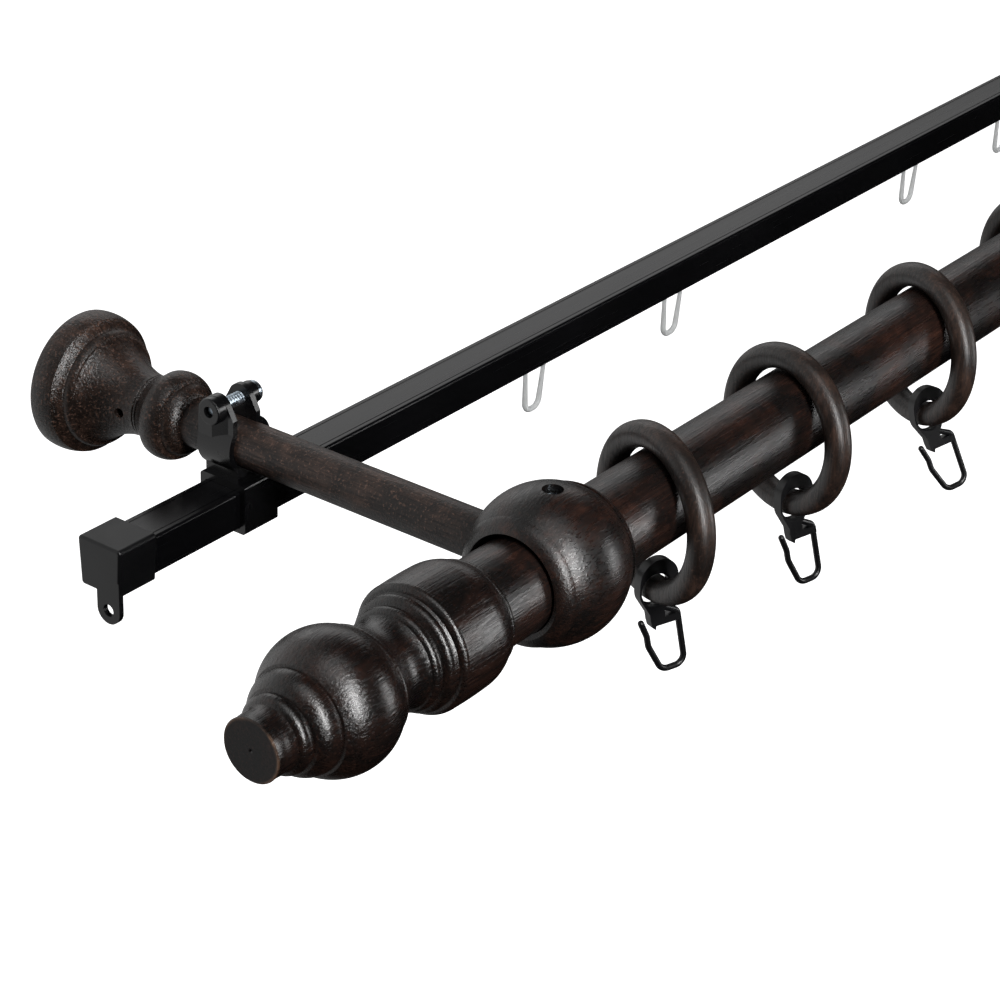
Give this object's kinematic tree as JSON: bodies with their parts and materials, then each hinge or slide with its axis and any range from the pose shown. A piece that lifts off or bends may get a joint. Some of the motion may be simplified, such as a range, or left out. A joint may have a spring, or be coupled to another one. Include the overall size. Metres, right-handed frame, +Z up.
{
  "type": "curtain rod",
  "caption": "Dark wooden curtain rod with turned finials, ball holders, wall rosettes, sliding rings with clip hooks, and a slim second track with gliders.",
  "frame": {"origin": "centre of the left wall rosette's flat back, on the wall plane", "axes": "+X along the rod and the wall to the right, +Y into the wall, +Z up; the rod's axis is at Y -182.5 mm, Z 0"},
  "size_m": [1.3314, 0.2099, 0.0836],
  "materials": {
    "dark_wood": "turned wood, dark brown stain, satin lacquer",
    "gloss_black_plastic": "moulded, glossy black",
    "matte_black_plastic": "moulded, satin black",
    "black_track": "satin black coating on an extruded profile",
    "zinc_steel": "bright zinc plating",
    "pale_plastic": "thin moulded nylon, slightly see-through"
  },
  "bodies": {
    "rail": {"rod": "dark_wood", "track": "black_track", "finial_left": "dark_wood", "finial_right": "dark_wood", "ball_holder_left": "dark_wood", "ball_holder_right": "dark_wood", "rod_screw_left": "zinc_steel", "rod_screw_right": "zinc_steel", "stem_left": "dark_wood", "stem_right": "dark_wood", "wall_rosette_left": "dark_wood", "wall_rosette_right": "dark_wood", "track_clamp_left": "gloss_black_plastic", "track_clamp_right": "gloss_black_plastic", "clamp_screw_left": "zinc_steel", "clamp_screw_right": "zinc_steel", "end_cap_left": "matte_black_plastic", "end_cap_right": "matte_black_plastic"},
    "ring_01": {"ring_01": "dark_wood"},
    "clip_hook_01": {"clip_hook_01": "matte_black_plastic"},
    "ring_02": {"ring_02": "dark_wood"},
    "clip_hook_02": {"clip_hook_02": "matte_black_plastic"},
    "ring_03": {"ring_03": "dark_wood"},
    "clip_hook_03": {"clip_hook_03": "matte_black_plastic"},
    "ring_04": {"ring_04": "dark_wood"},
    "clip_hook_04": {"clip_hook_04": "matte_black_plastic"},
    "ring_05": {"ring_05": "dark_wood"},
    "clip_hook_05": {"clip_hook_05": "matte_black_plastic"},
    "ring_06": {"ring_06": "dark_wood"},
    "clip_hook_06": {"clip_hook_06": "matte_black_plastic"},
    "ring_07": {"ring_07": "dark_wood"},
    "clip_hook_07": {"clip_hook_07": "matte_black_plastic"},
    "ring_08": {"ring_08": "dark_wood"},
    "clip_hook_08": {"clip_hook_08": "matte_black_plastic"},
    "ring_09": {"ring_09": "dark_wood"},
    "clip_hook_09": {"clip_hook_09": "matte_black_plastic"},
    "ring_10": {"ring_10": "dark_wood"},
    "clip_hook_10": {"clip_hook_10": "matte_black_plastic"},
    "ring_11": {"ring_11": "dark_wood"},
    "clip_hook_11": {"clip_hook_11": "matte_black_plastic"},
    "ring_12": {"ring_12": "dark_wood"},
    "clip_hook_12": {"clip_hook_12": "matte_black_plastic"},
    "glider_01": {"glider_01": "pale_plastic"},
    "glider_02": {"glider_02": "pale_plastic"},
    "glider_03": {"glider_03": "pale_plastic"},
    "glider_04": {"glider_04": "pale_plastic"},
    "glider_05": {"glider_05": "pale_plastic"},
    "glider_06": {"glider_06": "pale_plastic"},
    "glider_07": {"glider_07": "pale_plastic"},
    "glider_08": {"glider_08": "pale_plastic"},
    "glider_09": {"glider_09": "pale_plastic"},
    "glider_10": {"glider_10": "pale_plastic"},
    "glider_11": {"glider_11": "pale_plastic"},
    "glider_12": {"glider_12": "pale_plastic"}
  },
  "joints": [
    {"name": "ring_01_slide", "type": "slide", "parent": "rail", "child": "ring_01", "axis": [1, 0, 0], "range_m": [-0.019, 0.044]},
    {"name": "clip_hook_01_swing", "type": "hinge", "parent": "ring_01", "child": "clip_hook_01", "pos_m": [0.05262, -0.18483, -0.02947], "axis": [0.3726, 0.9221, -0.1045], "range_deg": [-80, 110]},
    {"name": "ring_02_slide", "type": "slide", "parent": "rail", "child": "ring_02", "axis": [1, 0, 0], "range_m": [-0.044, 0.056]},
    {"name": "clip_hook_02_swing", "type": "hinge", "parent": "ring_02", "child": "clip_hook_02", "pos_m": [0.12606, -0.18805, -0.02889], "axis": [0.2837, 0.9279, -0.2419], "range_deg": [-80, 110]},
    {"name": "ring_03_slide", "type": "slide", "parent": "rail", "child": "ring_03", "axis": [1, 0, 0], "range_m": [-0.056, 0.056]},
    {"name": "clip_hook_03_swing", "type": "hinge", "parent": "ring_03", "child": "clip_hook_03", "pos_m": [0.21067, -0.19, -0.02815], "axis": [0.3822, 0.8585, -0.342], "range_deg": [-72, 118]},
    {"name": "ring_04_slide", "type": "slide", "parent": "rail", "child": "ring_04", "axis": [1, 0, 0], "range_m": [-0.056, 0.06]},
    {"name": "clip_hook_04_swing", "type": "hinge", "parent": "ring_04", "child": "clip_hook_04", "pos_m": [0.29969, -0.18603, -0.02931], "axis": [0.3378, 0.9281, -0.1564], "range_deg": [-82, 108]},
    {"name": "ring_05_slide", "type": "slide", "parent": "rail", "child": "ring_05", "axis": [1, 0, 0], "range_m": [-0.06, 0.061]},
    {"name": "clip_hook_05_swing", "type": "hinge", "parent": "ring_05", "child": "clip_hook_05", "pos_m": [0.3897, -0.18732, -0.02908], "axis": [0.2532, 0.9448, -0.2079], "range_deg": [-77, 113]},
    {"name": "ring_06_slide", "type": "slide", "parent": "rail", "child": "ring_06", "axis": [1, 0, 0], "range_m": [-0.061, 0.061]},
    {"name": "clip_hook_06_swing", "type": "hinge", "parent": "ring_06", "child": "clip_hook_06", "pos_m": [0.48119, -0.18443, -0.02951], "axis": [0.3892, 0.917, -0.0872], "range_deg": [-81, 109]},
    {"name": "ring_07_slide", "type": "slide", "parent": "rail", "child": "ring_07", "axis": [1, 0, 0], "range_m": [-0.061, 0.06]},
    {"name": "clip_hook_07_swing", "type": "hinge", "parent": "ring_07", "child": "clip_hook_07", "pos_m": [0.57111, -0.18841, -0.02878], "axis": [0.2985, 0.9187, -0.2588], "range_deg": [-78, 112]},
    {"name": "ring_08_slide", "type": "slide", "parent": "rail", "child": "ring_08", "axis": [1, 0, 0], "range_m": [-0.06, 0.061]},
    {"name": "clip_hook_08_swing", "type": "hinge", "parent": "ring_08", "child": "clip_hook_08", "pos_m": [0.66254, -0.18553, -0.02937], "axis": [0.4185, 0.8975, -0.1392], "range_deg": [-80, 110]},
    {"name": "ring_09_slide", "type": "slide", "parent": "rail", "child": "ring_09", "axis": [1, 0, 0], "range_m": [-0.061, 0.061]},
    {"name": "clip_hook_09_swing", "type": "hinge", "parent": "ring_09", "child": "clip_hook_09", "pos_m": [0.75304, -0.18924, -0.02855], "axis": [0.2636, 0.9193, -0.2924], "range_deg": [-83, 107]},
    {"name": "ring_10_slide", "type": "slide", "parent": "rail", "child": "ring_10", "axis": [1, 0, 0], "range_m": [-0.061, 0.061]},
    {"name": "clip_hook_10_swing", "type": "hinge", "parent": "ring_10", "child": "clip_hook_10", "pos_m": [0.84494, -0.18523, -0.02942], "axis": [0.3557, 0.9266, -0.1219], "range_deg": [-79, 111]},
    {"name": "ring_11_slide", "type": "slide", "parent": "rail", "child": "ring_11", "axis": [1, 0, 0], "range_m": [-0.061, 0.054]},
    {"name": "clip_hook_11_swing", "type": "hinge", "parent": "ring_11", "child": "clip_hook_11", "pos_m": [0.9356, -0.18685, -0.02916], "axis": [0.3033, 0.9336, -0.1908], "range_deg": [-76, 114]},
    {"name": "ring_12_slide", "type": "slide", "parent": "rail", "child": "ring_12", "axis": [1, 0, 0], "range_m": [-0.054, 0.025]},
    {"name": "clip_hook_12_swing", "type": "hinge", "parent": "ring_12", "child": "clip_hook_12", "pos_m": [1.02101, -0.18483, -0.02947], "axis": [0.3726, 0.9221, -0.1045], "range_deg": [-82, 108]},
    {"name": "glider_01_slide", "type": "slide", "parent": "rail", "child": "glider_01", "axis": [1, 0, 0], "range_m": [-0.191, 0.072]},
    {"name": "glider_02_slide", "type": "slide", "parent": "rail", "child": "glider_02", "axis": [1, 0, 0], "range_m": [-0.072, 0.166]},
    {"name": "glider_03_slide", "type": "slide", "parent": "rail", "child": "glider_03", "axis": [1, 0, 0], "range_m": [-0.166, 0.07]},
    {"name": "glider_04_slide", "type": "slide", "parent": "rail", "child": "glider_04", "axis": [1, 0, 0], "range_m": [-0.07, 0.061]},
    {"name": "glider_05_slide", "type": "slide", "parent": "rail", "child": "glider_05", "axis": [1, 0, 0], "range_m": [-0.061, 0.059]},
    {"name": "glider_06_slide", "type": "slide", "parent": "rail", "child": "glider_06", "axis": [1, 0, 0], "range_m": [-0.059, 0.06]},
    {"name": "glider_07_slide", "type": "slide", "parent": "rail", "child": "glider_07", "axis": [1, 0, 0], "range_m": [-0.06, 0.058]},
    {"name": "glider_08_slide", "type": "slide", "parent": "rail", "child": "glider_08", "axis": [1, 0, 0], "range_m": [-0.058, 0.056]},
    {"name": "glider_09_slide", "type": "slide", "parent": "rail", "child": "glider_09", "axis": [1, 0, 0], "range_m": [-0.056, 0.055]},
    {"name": "glider_10_slide", "type": "slide", "parent": "rail", "child": "glider_10", "axis": [1, 0, 0], "range_m": [-0.055, 0.045]},
    {"name": "glider_11_slide", "type": "slide", "parent": "rail", "child": "glider_11", "axis": [1, 0, 0], "range_m": [-0.045, 0.031]},
    {"name": "glider_12_slide", "type": "slide", "parent": "rail", "child": "glider_12", "axis": [1, 0, 0], "range_m": [-0.031, 0.07]}
  ]
}
